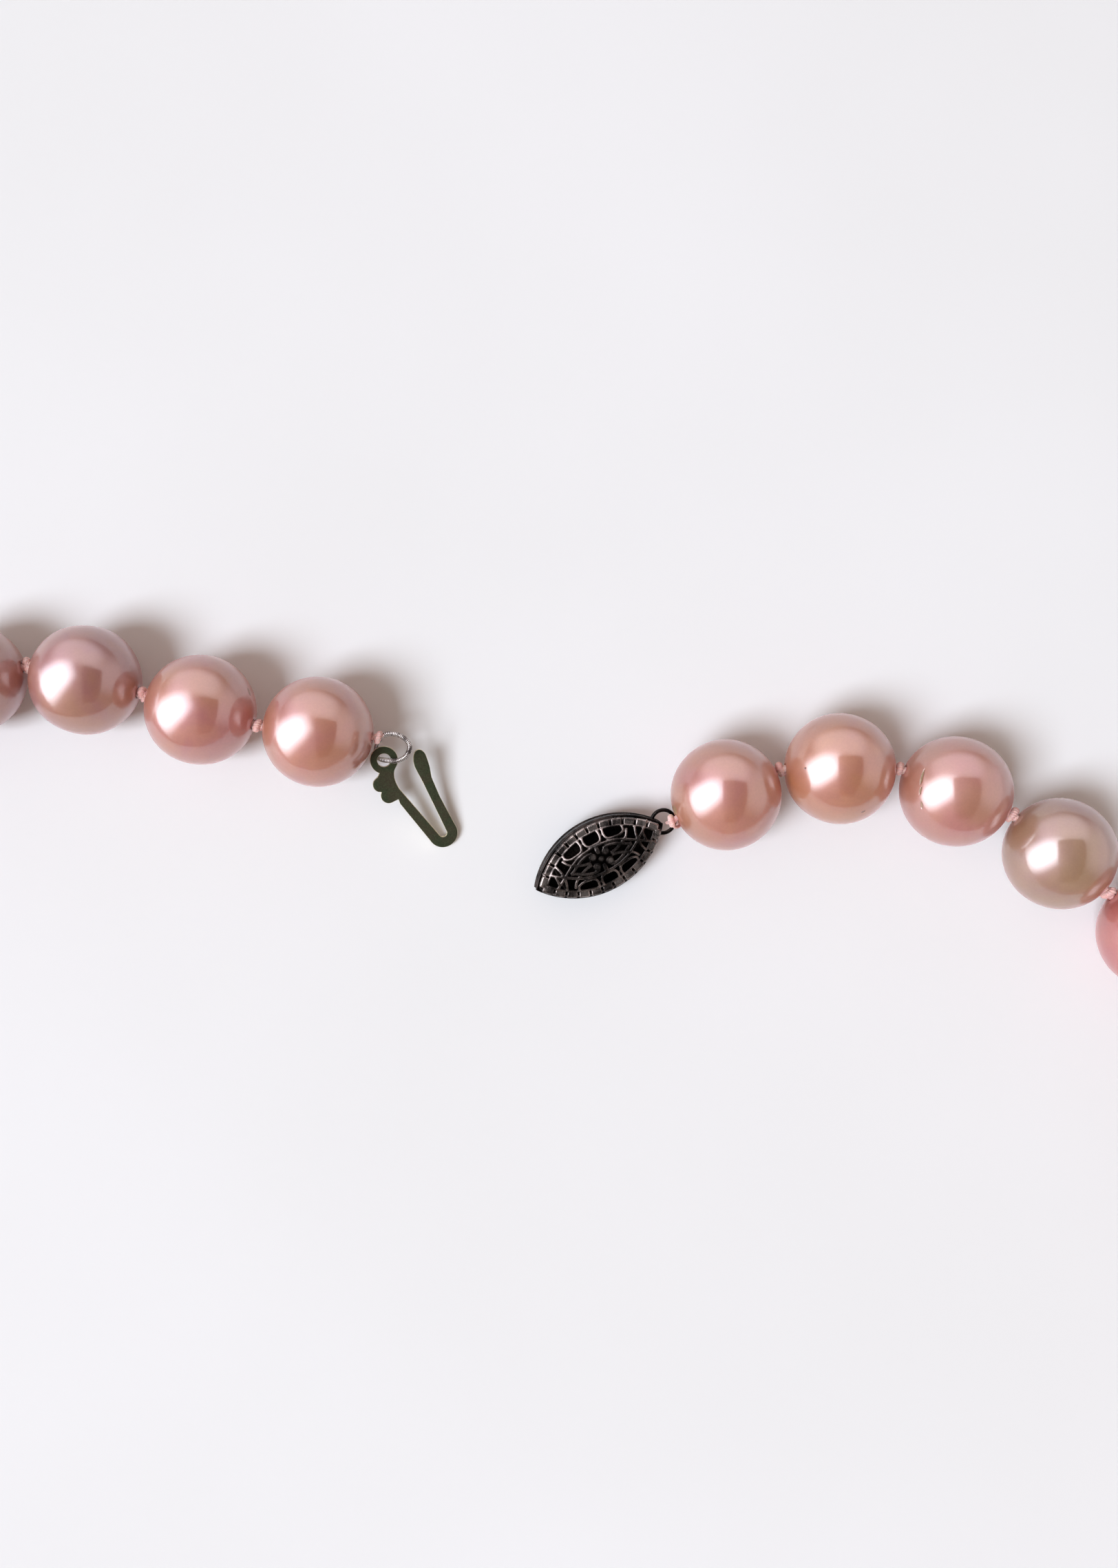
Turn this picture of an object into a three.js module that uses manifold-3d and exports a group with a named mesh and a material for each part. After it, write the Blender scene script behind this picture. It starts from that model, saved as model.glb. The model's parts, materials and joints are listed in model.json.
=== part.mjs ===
// A knotted pearl necklace laid out flat in one loop, with its fish-hook clasp undone.
// Millimetres, +Z up. The origin is the middle of the underside of the whole necklace.
import * as THREE from "three";
import { mergeVertices } from "three/addons/utils/BufferGeometryUtils.js";
import Module from "manifold-3d";

const wasm = await Module();
wasm.setup();

// Strand: pearls on a silk thread, with a knot after each one
const PEARL_COUNT = 43;
const PEARL_RADIUS = 4.5;
const PEARL_SIDES = 12;
const PEARL_ARCS = 5; // odd, so that the widest band of a pearl is flat
const DRILL_RADIUS = 0.5;
const SILK_RADIUS = 0.2;
const LOOP_SILK_RADIUS = 0.11; // one strand of the end loops
const KNOT_RADIUS = 0.6;
const KNOT_LENGTH = 0.5;

// Hook: a stamped plate with an eye, a two-lobed thumb piece and a sprung return arm
const HOOK_THICKNESS = 0.45;
const EYE_RADIUS = 1.1;
const EYE_HOLE_RADIUS = 0.55;
const BEND = { x: 7.75, y: 0.75, outer: 1.19, inner: 0.38 };
const HOOK_HEADING = -56.8;
const EYE_CENTRE = new THREE.Vector3(-14.2, 2.2, 2.9);
const HOOK_LIFT = 0.05; // the height of the bend's lowest edge above the table

// Gimp: a fine coiled-wire sleeve round the end loop of the silk
const GIMP_RADIUS = 0.32;
const GIMP_BORE_RADIUS = 0.19;
const GIMP_SHARE = [0.09, 0.91]; // the part of the end loop that the sleeve covers
const GIMP_STEPS = 24;

// Clasp body: two pierced domes on a band, with a slot at the pointed tip for the hook
const CLASP_LENGTH = 11.8;
const CLASP_WIDTH = 6;
const CLASP_HALF_HEIGHT = 1.75;
const CLASP_HEADING = 27.5;
const CLASP_ROLL = 15; // it lies rolled on its domed back
const CLASP_CENTRE = new THREE.Vector3(3.38, -5.56, 2.06);
const DOME_REACH = { x: 7.3, y: 4.2 };
const DOME_WALL = 0.35;
const BAND_HALF_HEIGHT = 0.6;
const BAND_WALL = 0.45;
const SLOT = { depth: 2.4, width: 2.2, height: 0.7 };
const GUIDE_PLATE = { inset: 0.5, thickness: 0.16, z: -0.52 };
const CROSS_BAR = { x: -3.6, radius: 0.25, length: 2.55 };
const RING = { x: 6, radius: 0.98, wire: 0.18, open: 115, tilt: 5, steps: 18 };
// Openings of one quarter of a dome: x, y, half length and half width
const DOME_CELLS = [
  [1.7, 0, 0.5, 0.36],
  [3.3, 0, 0.6, 0.36],
  [0, 1.55, 0.55, 0.4],
  [1.55, 1.3, 0.5, 0.36],
  [3.1, 0.98, 0.5, 0.3],
];

// Route of the strand on the table, from the hook end round to the clasp end
const ROUTE = [
  [-14.5, 3.8],
  [-24.1, 4.8],
  [-33.6, 7.4],
  [-43.2, 9.7],
  [-52.6, 7.6],
  [-60.6, 2.2],
  [-69, -12.5],
  [-74, -37],
  [-70.5, -71],
  [-51.5, -100],
  [-22, -116.5],
  [13, -119.5],
  [44.5, -106.5],
  [65, -80.5],
  [71.5, -52],
  [64.5, -28],
  [50.9, -14.7],
  [43.8, -8.5],
  [36.6, -2.4],
  [27.8, 1.3],
  [18.1, 1.3],
  [9.2, -2.9],
];

// End loop at the hook, from the end knot over the eye's rim, down through the eye and back
const HOOK_LOOP = [
  [-14.5, 3.8, 4.5],
  [-13.65, 4.15, 4.4],
  [-12.7, 4, 4.15],
  [-12, 3.3, 3.95],
  [-12.3, 2.4, 3.75],
  [-13.1, 2.05, 3.5],
  [-13.67, 2.1, 3.29],
  [-14.2, 2.2, 2.9],
  [-14.72, 2.4, 2.5],
  [-14.92, 2.95, 2.4],
  [-14.74, 3.55, 2.85],
  [-14.45, 3.85, 3.7],
  [-14.5, 3.8, 4.5],
];

// End loop at the clasp, from the end knot round the outer wire of the ring and back
const CLASP_LOOP = [
  [9.2, -2.9, 4.5],
  [8.95, -3.02, 3.7],
  [9, -2.95, 2.8],
  [9.25, -2.85, 2.1],
  [9.65, -2.93, 1.6],
  [10.03, -3.05, 2.1],
  [9.87, -3.28, 2.9],
  [9.5, -3.34, 3.6],
  [9.2, -2.9, 4.5],
];

const PEARL_COLOURS = [0xd9a08c, 0xd8a58c, 0xc98f8f, 0xe0a98c, 0xb59a86, 0xd88f82];
const SILK_COLOUR = 0xd9b8b4;
const GIMP_COLOUR = 0xb9b6b0;
const HOOK_COLOUR = 0x3f4230;
const CLASP_COLOUR = 0x4a403e;

const ALONG_X = new THREE.Vector3(1, 0, 0);
const rad = THREE.MathUtils.degToRad;

// A closed geometry as a solid for joining and cutting.
function toSolid(geometry) {
  const bare = geometry.clone();
  bare.deleteAttribute("normal");
  bare.deleteAttribute("uv");
  const merged = mergeVertices(bare, 1e-4);
  return new wasm.Manifold(
    new wasm.Mesh({
      numProp: 3,
      vertProperties: merged.attributes.position.array,
      triVerts: new Uint32Array(merged.index.array),
    }),
  );
}

// A solid's surface as a geometry.
function toGeometry(solid) {
  const { vertProperties, triVerts } = solid.getMesh();
  const geometry = new THREE.BufferGeometry();
  geometry.setAttribute("position", new THREE.BufferAttribute(vertProperties, 3));
  geometry.setIndex(new THREE.BufferAttribute(triVerts, 1));
  geometry.computeVertexNormals();
  return geometry;
}

function joined(geometries) {
  return toGeometry(geometries.map(toSolid).reduce((all, next) => all.add(next)));
}

function piece(name, geometry, color, roughness, metalness) {
  const material = new THREE.MeshStandardMaterial({ color, roughness, metalness });
  const mesh = new THREE.Mesh(geometry, material);
  mesh.name = name;
  return mesh;
}

function plate(shape, thickness, curveSegments = 8) {
  const settings = { depth: thickness, bevelEnabled: false, curveSegments };
  return new THREE.ExtrudeGeometry(shape, settings).translate(0, 0, -thickness / 2);
}

function roundSection(radius, bore = 0) {
  const section = new THREE.Shape().absarc(0, 0, radius, 0, 2 * Math.PI);
  if (bore > 0) section.holes.push(new THREE.Path().absarc(0, 0, bore, 0, 2 * Math.PI, true));
  return section;
}

function wireAlong(path, section, steps, sides) {
  const settings = { extrudePath: path, steps, bevelEnabled: false, curveSegments: sides };
  return new THREE.ExtrudeGeometry(section, settings);
}

function curveThrough(points) {
  const vectors = points.map(([x, y, z = PEARL_RADIUS]) => new THREE.Vector3(x, y, z));
  return new THREE.CatmullRomCurve3(vectors);
}

// The stretch of a curve between two shares of its length.
function stretchOf(curve, [from, to], count) {
  const points = [];
  for (let i = 0; i <= count; i += 1) {
    points.push(curve.getPointAt(from + ((to - from) * i) / count));
  }
  return new THREE.CatmullRomCurve3(points);
}

function knotPlaces() {
  const route = curveThrough(ROUTE);
  route.arcLengthDivisions = 3000;
  return route.getSpacedPoints(PEARL_COUNT);
}

// A drilled pearl about the Y axis, whose facets touch its true sphere at the widest band.
function pearlGeometry() {
  const mouth = Math.asin(DRILL_RADIUS / PEARL_RADIUS);
  const step = (Math.PI - 2 * mouth) / PEARL_ARCS;
  const stretch = 1 / (Math.cos(step / 2) * Math.cos(Math.PI / PEARL_SIDES));
  const profile = [];
  for (let i = 0; i <= PEARL_ARCS; i += 1) {
    const angle = mouth + i * step;
    const radius = PEARL_RADIUS * Math.sin(angle) * stretch;
    profile.push(new THREE.Vector2(radius, -PEARL_RADIUS * Math.cos(angle)));
  }
  profile.push(profile[0].clone());
  return new THREE.LatheGeometry(profile, PEARL_SIDES, Math.PI / PEARL_SIDES);
}

function addPearls(group, knots) {
  const geometry = pearlGeometry();
  for (let i = 0; i < PEARL_COUNT; i += 1) {
    const name = `pearl_${String(i + 1).padStart(2, "0")}`;
    const colour = PEARL_COLOURS[i % PEARL_COLOURS.length];
    const pearl = piece(name, geometry, colour, 0.25, 0);
    const run = knots[i + 1].clone().sub(knots[i]);
    pearl.position.lerpVectors(knots[i], knots[i + 1], 0.5);
    pearl.rotation.z = Math.atan2(run.y, run.x) - Math.PI / 2;
    group.add(pearl);
  }
}

// One silk thread through every pearl, with its knots and its two end loops.
function silkThread(knots, loops) {
  const parts = loops.map((loop) => wireAlong(loop, roundSection(LOOP_SILK_RADIUS), GIMP_STEPS, 3));
  knots.forEach((knot, i) => {
    const next = knots[i + 1] ?? knot;
    const last = knots[i - 1] ?? knot;
    const run = next.clone().sub(last).normalize();
    const ball = new THREE.SphereGeometry(KNOT_RADIUS, 6, 4);
    ball.rotateZ(Math.PI / 2).scale(KNOT_LENGTH / (2 * KNOT_RADIUS), 1, 1);
    ball.applyQuaternion(new THREE.Quaternion().setFromUnitVectors(ALONG_X, run));
    parts.push(ball.translate(...knot));
    if (i === 0) return;
    const span = knot.clone().sub(last);
    const thread = new THREE.CylinderGeometry(SILK_RADIUS, SILK_RADIUS, span.length(), 6);
    thread.rotateZ(Math.atan2(span.y, span.x) - Math.PI / 2);
    parts.push(thread.translate(...last.clone().lerp(knot, 0.5)));
  });
  return joined(parts);
}

// The eye, neck, thumb lobes, stop shoulder, long arm and most of the bend.
function tongueShape() {
  const shape = new THREE.Shape();
  shape.absarc(0, 0, EYE_RADIUS, rad(32), rad(310));
  shape.absarc(1.54, -1.36, 0.58, rad(170), rad(320));
  shape.absarc(2.66, -1.27, 0.62, rad(205), rad(350));
  shape.lineTo(3.33, -0.72);
  shape.lineTo(3.72, -0.84);
  shape.absarc(BEND.x, BEND.y, BEND.outer, rad(-90), rad(20));
  shape.absarc(BEND.x, BEND.y, BEND.inner, rad(20), rad(-90), true);
  shape.lineTo(2.66, -0.28);
  shape.quadraticCurveTo(1.25, -0.25, EYE_RADIUS * Math.cos(rad(32)), EYE_RADIUS * Math.sin(rad(32)));
  shape.holes.push(new THREE.Path().absarc(0, 0, EYE_HOLE_RADIUS, 0, 2 * Math.PI, true));
  return shape;
}

// The rest of the bend and the sprung arm back to its wider end.
function springArmShape() {
  const shape = new THREE.Shape();
  shape.absarc(BEND.x, BEND.y, BEND.outer, rad(42), rad(95));
  shape.lineTo(5, 2.16);
  shape.lineTo(3.3, 2.46);
  shape.lineTo(2.5, 2.8);
  shape.quadraticCurveTo(1.9, 2.98, 1.4, 3.08);
  shape.quadraticCurveTo(0.7, 3.06, 0.8, 2.52);
  shape.quadraticCurveTo(1.2, 1.95, 1.9, 1.82);
  shape.lineTo(3.3, 1.69);
  shape.lineTo(5.7, 1.39);
  shape.absarc(BEND.x, BEND.y, BEND.inner, rad(95), rad(42), true);
  return shape;
}

function hook() {
  const group = new THREE.Group();
  const reach = BEND.x + BEND.outer;
  const drop = EYE_CENTRE.z - HOOK_THICKNESS / 2 - HOOK_LIFT;
  group.add(piece("hook_tongue", plate(tongueShape(), HOOK_THICKNESS), HOOK_COLOUR, 0.6, 0.7));
  group.add(piece("hook_spring_arm", plate(springArmShape(), HOOK_THICKNESS), HOOK_COLOUR, 0.6, 0.7));
  group.position.copy(EYE_CENTRE);
  group.rotation.set(0, Math.asin(drop / reach), rad(HOOK_HEADING), "ZYX");
  return group;
}

// A pointed oval made of two equal arcs, drawn in by an inset.
function marquise(inset = 0) {
  const arc = (CLASP_LENGTH ** 2 + CLASP_WIDTH ** 2) / (4 * CLASP_WIDTH);
  const offset = arc - CLASP_WIDTH / 2;
  const radius = arc - inset;
  const low = Math.asin(offset / radius);
  const shape = new THREE.Shape();
  shape.absarc(0, -offset, radius, low, Math.PI - low);
  shape.absarc(0, offset, radius, Math.PI + low, 2 * Math.PI - low);
  return shape;
}

function ellipsoid(x, y, z) {
  return toSolid(new THREE.SphereGeometry(1, 24, 14).rotateX(Math.PI / 2).scale(x, y, z));
}

// A place and its mirror image, or just the place when it is on the middle line.
function mirrored(place) {
  return place === 0 ? [place] : [place, -place];
}

// A pierced dome, facing up when side is 1 and down when it is -1.
function dome(side) {
  const outline = toSolid(plate(marquise(), CLASP_HALF_HEIGHT, 9).translate(0, 0, CLASP_HALF_HEIGHT / 2));
  const inner = CLASP_HALF_HEIGHT - DOME_WALL;
  const shell = ellipsoid(DOME_REACH.x, DOME_REACH.y, CLASP_HALF_HEIGHT).subtract(
    ellipsoid(DOME_REACH.x - DOME_WALL, DOME_REACH.y - DOME_WALL, inner),
  );
  let solid = shell.intersect(outline);
  for (const [x, y, halfLength, halfWidth] of DOME_CELLS) {
    for (const cellX of mirrored(x)) {
      for (const cellY of mirrored(y)) {
        const cell = new THREE.Shape().absellipse(cellX, cellY, halfLength, halfWidth, 0, 2 * Math.PI);
        solid = solid.subtract(toSolid(plate(cell, 3 * CLASP_HALF_HEIGHT, 4)));
      }
    }
  }
  const geometry = toGeometry(solid);
  return side > 0 ? geometry : geometry.rotateX(Math.PI);
}

function band() {
  const wall = marquise();
  wall.holes.push(new THREE.Path(marquise(BAND_WALL).getPoints(9).reverse()));
  const slot = new THREE.BoxGeometry(SLOT.depth, SLOT.width, SLOT.height);
  slot.translate(-CLASP_LENGTH / 2, 0, 0);
  return toGeometry(toSolid(plate(wall, 2 * BAND_HALF_HEIGHT, 9)).subtract(toSolid(slot)));
}

// The floor of the hook's channel, which closes the body to the light.
function guidePlate() {
  return plate(marquise(GUIDE_PLATE.inset), GUIDE_PLATE.thickness, 9).translate(0, 0, GUIDE_PLATE.z);
}

// The open ring soldered round the blunt end of the clasp body.
function claspRing() {
  const points = [];
  for (let i = 0; i <= RING.steps; i += 1) {
    const angle = rad(RING.open * ((2 * i) / RING.steps - 1));
    points.push(new THREE.Vector3(RING.radius * Math.cos(angle), RING.radius * Math.sin(angle), 0));
  }
  const arc = new THREE.CatmullRomCurve3(points);
  const wire = wireAlong(arc, roundSection(RING.wire), RING.steps, 4);
  return wire.rotateX(rad(RING.tilt)).translate(RING.x, 0, 0);
}

function clasp() {
  const group = new THREE.Group();
  const bar = new THREE.CylinderGeometry(CROSS_BAR.radius, CROSS_BAR.radius, CROSS_BAR.length, 8);
  const pieces = {
    clasp_front_filigree: dome(1),
    clasp_back_filigree: dome(-1),
    clasp_band: band(),
    clasp_guide_plate: guidePlate(),
    clasp_cross_bar: bar.translate(CROSS_BAR.x, 0, 0),
    clasp_ring: claspRing(),
  };
  for (const [name, geometry] of Object.entries(pieces)) {
    group.add(piece(name, geometry, CLASP_COLOUR, 0.4, 0.9));
  }
  group.position.copy(CLASP_CENTRE);
  group.rotation.set(rad(CLASP_ROLL), 0, rad(CLASP_HEADING), "ZYX");
  return group;
}

function necklace() {
  const laidOut = new THREE.Group();
  const knots = knotPlaces();
  const hookLoop = curveThrough(HOOK_LOOP);
  const sleeve = roundSection(GIMP_RADIUS, GIMP_BORE_RADIUS);
  const gimp = wireAlong(stretchOf(hookLoop, GIMP_SHARE, GIMP_STEPS), sleeve, GIMP_STEPS, 4);
  addPearls(laidOut, knots);
  const thread = silkThread(knots, [hookLoop, curveThrough(CLASP_LOOP)]);
  laidOut.add(piece("silk_thread", thread, SILK_COLOUR, 0.6, 0));
  laidOut.add(piece("gimp_loop", gimp, GIMP_COLOUR, 0.35, 0.9));
  laidOut.add(hook());
  laidOut.add(clasp());
  const box = new THREE.Box3().setFromObject(laidOut, true);
  const centre = box.getCenter(new THREE.Vector3());
  laidOut.position.set(-centre.x, -centre.y, -box.min.z);
  return new THREE.Group().add(laidOut);
}

export default necklace();
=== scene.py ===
import json
import math

import bpy
import numpy as np
from mathutils import Matrix, Vector, geometry


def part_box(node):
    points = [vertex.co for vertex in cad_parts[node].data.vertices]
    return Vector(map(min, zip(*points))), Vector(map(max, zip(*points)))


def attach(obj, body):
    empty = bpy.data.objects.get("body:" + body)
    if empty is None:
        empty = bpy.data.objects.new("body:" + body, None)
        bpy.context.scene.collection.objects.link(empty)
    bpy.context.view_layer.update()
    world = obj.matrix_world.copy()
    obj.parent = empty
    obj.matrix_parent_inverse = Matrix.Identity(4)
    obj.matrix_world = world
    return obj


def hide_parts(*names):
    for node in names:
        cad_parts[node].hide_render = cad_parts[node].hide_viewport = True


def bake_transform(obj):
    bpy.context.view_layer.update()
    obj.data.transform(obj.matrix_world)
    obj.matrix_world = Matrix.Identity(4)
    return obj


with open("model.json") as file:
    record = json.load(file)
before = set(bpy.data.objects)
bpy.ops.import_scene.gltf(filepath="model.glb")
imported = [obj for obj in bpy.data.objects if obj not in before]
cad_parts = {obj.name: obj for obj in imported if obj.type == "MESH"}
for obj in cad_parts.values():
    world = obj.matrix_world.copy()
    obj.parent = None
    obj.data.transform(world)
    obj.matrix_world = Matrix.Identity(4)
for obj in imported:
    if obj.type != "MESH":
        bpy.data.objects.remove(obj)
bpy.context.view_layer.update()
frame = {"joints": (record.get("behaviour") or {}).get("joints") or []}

MM = 0.001
PEARL_COUNT = 43
PEARL_RADIUS = 4.5 * MM
PEARL_SIDES = 96
PEARL_RINGS = 56
PEARL_SWELLS = (0.005, 0.0035, 0.002, 0.0015)
BORE_RADIUS = 0.42 * MM
BORE_ROUNDING = 0.14 * MM
PEARL_SPIN = 2.4

Y, Z = Vector((0, 1, 0)), Vector((0, 0, 1))
JOINTS = {joint["name"]: joint for joint in frame["joints"]}


# ---------- places, all taken from the frame ----------

def middle(node):
    low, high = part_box(node)
    return (low + high) / 2


def joint_place(name):
    return Vector(JOINTS[name]["pos_m"])


def pearl_name(number):
    return f"pearl_{number:02d}"


PEARL_CENTRES = [middle(pearl_name(i + 1)) for i in range(PEARL_COUNT)]
KNOTS = [joint_place("gimp_loop_swing")]
KNOTS += [joint_place(f"knot_{i:02d}_bend") for i in range(1, PEARL_COUNT)]
KNOTS += [2 * PEARL_CENTRES[-1] - KNOTS[-1]]


def frame_from(along, up):
    """A rotation whose x axis is along and whose z axis is as near up as it can be."""
    x = along.normalized()
    y = up.cross(x).normalized()
    return Matrix((x, y, x.cross(y))).transposed()


# ---------- meshes ----------

def mesh_of(name, points, faces, flat_angle=None):
    mesh = bpy.data.meshes.new(name)
    mesh.from_pydata([tuple(p) for p in points], [], faces)
    mesh.validate()
    mesh.update()
    mesh.shade_smooth()
    if flat_angle is not None:
        mesh.set_sharp_from_angle(angle=math.radians(flat_angle))
    return mesh


def add_piece(name, mesh, material, matrix=None):
    piece = bpy.data.objects.new(name, mesh)
    bpy.context.scene.collection.objects.link(piece)
    piece.data.materials.clear()
    piece.data.materials.append(material)
    if matrix is not None:
        piece.matrix_world = matrix
    bpy.context.view_layer.update()
    return piece


def store(mesh, name, values):
    """Keeps one number for each point of a mesh, for a material to read."""
    attribute = mesh.attributes.new(name, "FLOAT", "POINT")
    attribute.data.foreach_set("value", np.asarray(values, np.float32))


def smooth_path(controls, count, closed=False):
    """Evenly spaced points on a Catmull-Rom curve through the control points."""
    points = [np.array(p, float) for p in controls]
    if closed:
        points = [points[-1], *points, points[0], points[1]]
    else:
        points = [2 * points[0] - points[1], *points, 2 * points[-1] - points[-2]]
    dense = []
    for a, b, c, d in zip(points, points[1:], points[2:], points[3:]):
        for t in np.linspace(0, 1, 24, endpoint=False):
            dense.append(0.5 * (2 * b + (c - a) * t + (2 * a - 5 * b + 4 * c - d) * t ** 2
                                + (3 * b - a - 3 * c + d) * t ** 3))
    dense.append(points[-2])
    dense = np.array(dense)
    run = np.concatenate([[0], np.cumsum(np.linalg.norm(np.diff(dense, axis=0), axis=1))])
    stops = np.linspace(0, run[-1], count, endpoint=not closed)
    return np.stack([np.interp(stops, run, dense[:, i]) for i in range(dense.shape[1])], axis=1)


def carried_frames(path, closed=False):
    """Tangent, side and up at each point of a path, turned as little as possible from one to the next."""
    ahead = np.roll(path, -1, axis=0) - np.roll(path, 1, axis=0)
    if not closed:
        ahead[0] = path[1] - path[0]
        ahead[-1] = path[-1] - path[-2]
    tangents = ahead / np.linalg.norm(ahead, axis=1)[:, None]
    start = np.array((0, 0, 1.0)) if abs(tangents[0][2]) < 0.9 else np.array((1.0, 0, 0))
    sides = []
    for tangent in tangents:
        start = start - tangent * (start @ tangent)
        start = start / np.linalg.norm(start)
        sides.append(start)
    sides = np.array(sides)
    return tangents, sides, np.cross(tangents, sides)


def tube(path, radius, sides, closed=False, section=None, caps=True):
    """Points and faces of a tube along a path. section(share, angles) scales the radius round it."""
    path = np.array(path, float)
    _, side, up = carried_frames(path, closed)
    angles = np.linspace(0, 2 * math.pi, sides, endpoint=False)
    points, faces = [], []
    for i, centre in enumerate(path):
        share = i / (len(path) - 1)
        size = (radius(share) if callable(radius) else radius) * np.ones(sides)
        if section is not None:
            size = size * section(share, angles)
        ring = side[i] * np.cos(angles)[:, None] + up[i] * np.sin(angles)[:, None]
        points.extend(centre + ring * size[:, None])
    rings = len(path)
    for i in range(rings if closed else rings - 1):
        a, b = i * sides, ((i + 1) % rings) * sides
        faces += [(a + j, a + (j + 1) % sides, b + (j + 1) % sides, b + j) for j in range(sides)]
    if caps and not closed:
        faces.append(tuple(range(sides - 1, -1, -1)))
        faces.append(tuple(range((rings - 1) * sides, rings * sides)))
    return np.array(points), faces


def bead(centre, radius, sides=16, rings=10, flat=1.0):
    """Points and faces of a small ball, squashed along z by flat."""
    centre = np.array(centre, float)
    points = [centre + (0, 0, radius * flat)]
    faces = []
    for i in range(1, rings):
        polar = math.pi * i / rings
        for j in range(sides):
            turn = 2 * math.pi * j / sides
            points.append(centre + radius * np.array((
                math.sin(polar) * math.cos(turn), math.sin(polar) * math.sin(turn),
                math.cos(polar) * flat)))
    points.append(centre - (0, 0, radius * flat))
    last = len(points) - 1
    for j in range(sides):
        k = (j + 1) % sides
        faces.append((0, 1 + j, 1 + k))
        faces += [(1 + i * sides + j, 1 + (i + 1) * sides + j, 1 + (i + 1) * sides + k, 1 + i * sides + k)
                  for i in range(rings - 2)]
        faces.append((last, last - sides + k, last - sides + j))
    return np.array(points), faces


def together(parts):
    """Several (points, faces) as one."""
    points, faces, start = [], [], 0
    for part_points, part_faces in parts:
        points.append(np.array(part_points, float))
        faces += [tuple(start + i for i in face) for face in part_faces]
        start += len(part_points)
    return np.concatenate(points), faces


def applied(piece, *modifiers):
    """Adds each (kind, settings) modifier to the piece and applies them all."""
    for kind, settings in modifiers:
        modifier = piece.modifiers.new(kind.lower(), kind)
        for key, value in settings.items():
            setattr(modifier, key, value)
    bpy.context.view_layer.update()
    evaluated = piece.evaluated_get(bpy.context.evaluated_depsgraph_get())
    mesh = bpy.data.meshes.new_from_object(evaluated)
    piece.modifiers.clear()
    piece.data = mesh
    mesh.shade_smooth()
    return piece


# ---------- materials ----------

def new_tree(name):
    material = bpy.data.materials.new(name)
    material.use_nodes = True
    tree = material.node_tree
    tree.nodes.clear()
    shader = tree.nodes.new("ShaderNodeBsdfPrincipled")
    output = tree.nodes.new("ShaderNodeOutputMaterial")
    tree.links.new(shader.outputs[0], output.inputs[0])
    return material, tree, shader


def node(tree, kind, inputs=None, **settings):
    made = tree.nodes.new("ShaderNode" + kind)
    for key, value in settings.items():
        setattr(made, key, value)
    for key, value in (inputs or {}).items():
        if isinstance(value, bpy.types.NodeSocket):
            tree.links.new(value, made.inputs[key])
        else:
            made.inputs[key].default_value = value
    return made


def noise(tree, place, scale, detail=2.0, roughness=0.5, distortion=0.0):
    inputs = {"Vector": place, "Scale": scale, "Detail": detail, "Roughness": roughness,
              "Distortion": distortion}
    return node(tree, "TexNoise", inputs).outputs["Fac"]


def ranged(tree, value, low, high, to_low=0.0, to_high=1.0):
    inputs = {"Value": value, "From Min": low, "From Max": high, "To Min": to_low, "To Max": to_high}
    return node(tree, "MapRange", inputs, interpolation_type="SMOOTHSTEP").outputs["Result"]


def mixed(tree, share, first, second, blend="MIX"):
    made = node(tree, "Mix", {0: share, 6: first, 7: second}, data_type="RGBA", blend_type=blend)
    return made.outputs[2]


def maths(tree, operation, first, second=0.0):
    return node(tree, "Math", {0: first, 1: second}, operation=operation).outputs[0]


def bumped(tree, height, distance, strength=1.0, under=None):
    inputs = {"Height": height, "Distance": distance, "Strength": strength}
    if under is not None:
        inputs["Normal"] = under
    return node(tree, "Bump", inputs).outputs["Normal"]


def colour(red, green, blue):
    """A colour given as it looks on screen, from 0 to 255, as linear light."""
    linear = [c / 12.92 if c <= 0.04045 else ((c + 0.055) / 1.055) ** 2.4
              for c in (red / 255, green / 255, blue / 255)]
    return (*linear, 1.0)


def set_inputs(shader, settings):
    for key, value in settings.items():
        shader.inputs[key].default_value = value


def mark_mask(tree, place, centre, along, length, width, ragged):
    """1 on a streak of that length and width on the surface, 0 away from it, with a ragged edge."""
    rotation = frame_from(Vector(along), Vector(centre)).to_euler()
    turned = node(tree, "Mapping", {
        "Vector": place, "Location": Vector(centre), "Rotation": rotation,
        "Scale": (length, width, length)}, vector_type="TEXTURE").outputs[0]
    rough = noise(tree, place, 4200, 3, 0.7)
    reach = node(tree, "VectorMath", {0: turned}, operation="LENGTH").outputs["Value"]
    shaken = maths(tree, "ADD", reach, maths(tree, "MULTIPLY", rough, ragged))
    return ranged(tree, shaken, 0.55 + ragged * 0.5, 1.0 + ragged * 0.5, 1.0, 0.0)


NACRE_GLOSS = {
    "IOR": 1.7, "Specular Tint": colour(255, 232, 240),
    "Subsurface Weight": 0.15, "Subsurface Scale": 0.8 * MM, "Subsurface Radius": (1.0, 0.55, 0.45),
    "Coat Weight": 1.0, "Coat Roughness": 0.14, "Coat IOR": 1.95,
    "Sheen Weight": 0.18, "Sheen Roughness": 0.35, "Sheen Tint": colour(255, 150, 165),
}
SILK_SHEEN = {
    "Sheen Weight": 0.7, "Sheen Roughness": 0.35, "Sheen Tint": colour(255, 214, 210),
    "Subsurface Weight": 0.15, "Subsurface Scale": 0.2 * MM,
}
MARK_RAGGED = 0.8
MARK_STRENGTH = 0.85
MARK_ROUGHNESS = 0.2


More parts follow.
